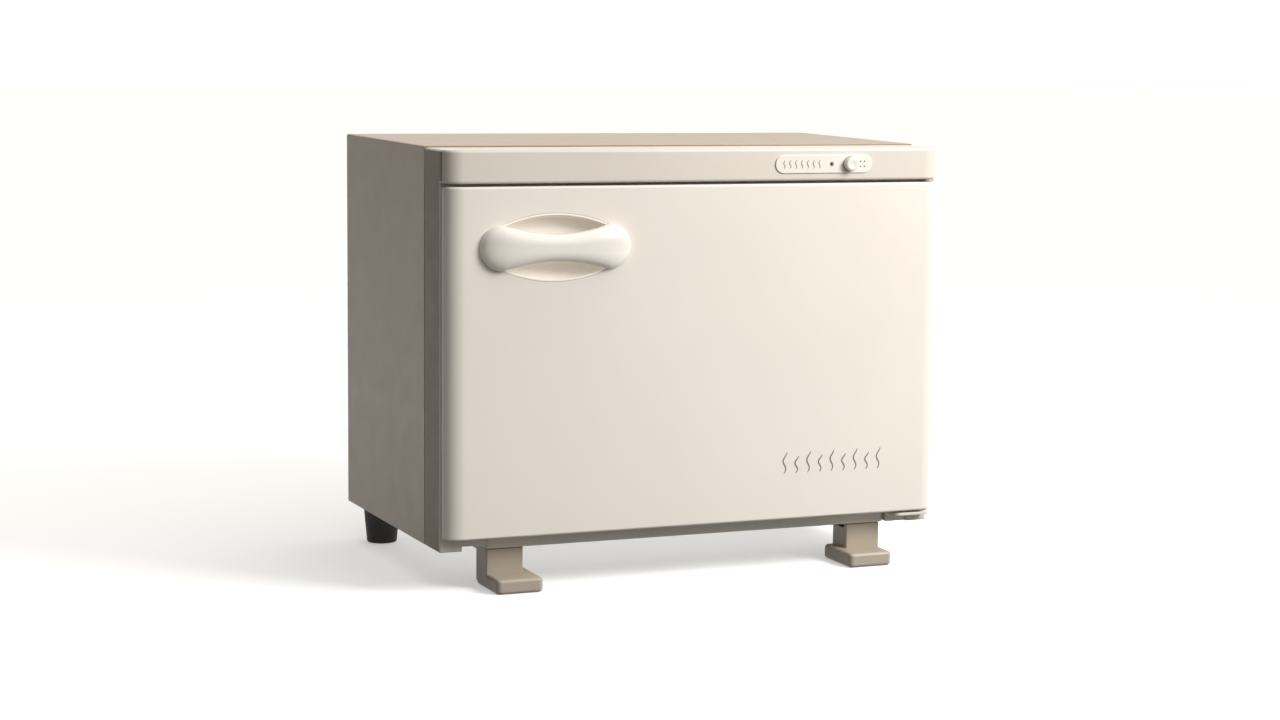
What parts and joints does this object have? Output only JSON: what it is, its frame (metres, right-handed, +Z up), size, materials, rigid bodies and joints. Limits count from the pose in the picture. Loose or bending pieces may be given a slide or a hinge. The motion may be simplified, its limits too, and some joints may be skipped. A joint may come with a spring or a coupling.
{
  "type": "hot towel warming cabinet",
  "caption": "Bench-top hot towel cabinet: steel case, moulded front frame, side-hinged insulated door with recessed grip, wire racks, drip tray and push button.",
  "frame": {"origin": "on the floor under the middle of the overall box, midway between the handle's front and the rear spacers' ends", "axes": "+X to the right of somebody facing the door, +Y to the back, +Z up"},
  "size_m": [0.45, 0.304, 0.366],
  "materials": {
    "white_abs": "glossy ivory moulding",
    "beige_abs": "satin warm grey-beige moulding",
    "case_paint": "fine-textured beige stoving paint on folded steel",
    "label_white": "smooth off-white",
    "aluminium": "bright rolled sheet",
    "zinc_steel": "zinc plated",
    "chrome_wire": "bright plated wire",
    "black_rubber": "matt moulded rubber",
    "gasket": "matt extruded silicone",
    "insulation": "fibrous blanket",
    "nylon": "satin",
    "black_plastic": "fine matt texture",
    "mica": "laminated mica sheet",
    "red_lens": "clear-coated dark red lens, unlit"
  },
  "bodies": {
    "cabinet": {"base_pan": "zinc_steel", "bracket_screw_1": "zinc_steel", "bracket_screw_2": "zinc_steel", "control_plate": "label_white", "front_foot_left": "beige_abs", "front_foot_right": "beige_abs", "front_foot_screw_left": "zinc_steel", "front_foot_screw_right": "zinc_steel", "front_frame": "beige_abs", "heater_clamp": "zinc_steel", "heater_plate": "mica", "inner_chamber": "aluminium", "insulation_rear": "insulation", "insulation_wrap": "insulation", "lower_hinge_bracket": "beige_abs", "lower_rail_left": "zinc_steel", "lower_rail_right": "zinc_steel", "outer_case": "case_paint", "pilot_lamp": "red_lens", "power_inlet": "black_plastic", "power_switch": "black_plastic", "rear_foot_left": "black_rubber", "rear_foot_right": "black_rubber", "rear_foot_screw_left": "zinc_steel", "rear_foot_screw_right": "zinc_steel", "rear_panel": "case_paint", "rear_screw_1": "zinc_steel", "rear_screw_2": "zinc_steel", "rear_screw_3": "zinc_steel", "rear_screw_4": "zinc_steel", "rear_screw_5": "zinc_steel", "rear_screw_6": "zinc_steel", "rear_spacer_left": "black_rubber", "rear_spacer_right": "black_rubber", "strike_plate": "zinc_steel", "thermal_fuse": "nylon", "thermostat": "black_plastic", "upper_hinge_pin": "zinc_steel", "upper_rail_left": "zinc_steel", "upper_rail_right": "zinc_steel"},
    "door": {"door_gasket": "gasket", "door_handle": "white_abs", "door_inner_panel": "white_abs", "door_insulation": "insulation", "door_magnet": "black_plastic", "door_outer_panel": "white_abs", "handle_pocket": "white_abs", "handle_screw_left": "zinc_steel", "handle_screw_right": "zinc_steel", "lower_hinge_bush": "nylon", "upper_hinge_bush": "nylon"},
    "button": {"power_button": "label_white"},
    "drip_tray": {"drip_tray": "beige_abs"},
    "upper_rack": {"upper_rack": "chrome_wire"},
    "lower_rack": {"lower_rack": "chrome_wire"}
  },
  "joints": [
    {"name": "door_hinge", "type": "hinge", "parent": "cabinet", "child": "door", "pos_m": [0.217, -0.133, 0.19], "axis": [0, 0, 1], "range_deg": [0, 110]},
    {"name": "power_button_press", "type": "slide", "parent": "cabinet", "child": "button", "axis": [0, 1, 0], "range_m": [0, 0.003], "stiffness_N_per_m": 300},
    {"name": "drip_tray_slide", "type": "slide", "parent": "cabinet", "child": "drip_tray", "axis": [0, -1, 0], "range_m": [0, 0.045]},
    {"name": "upper_rack_slide", "type": "slide", "parent": "cabinet", "child": "upper_rack", "axis": [0, -1, 0], "range_m": [0, 0.012]},
    {"name": "lower_rack_slide", "type": "slide", "parent": "cabinet", "child": "lower_rack", "axis": [0, -1, 0], "range_m": [0, 0.012]}
  ]
}
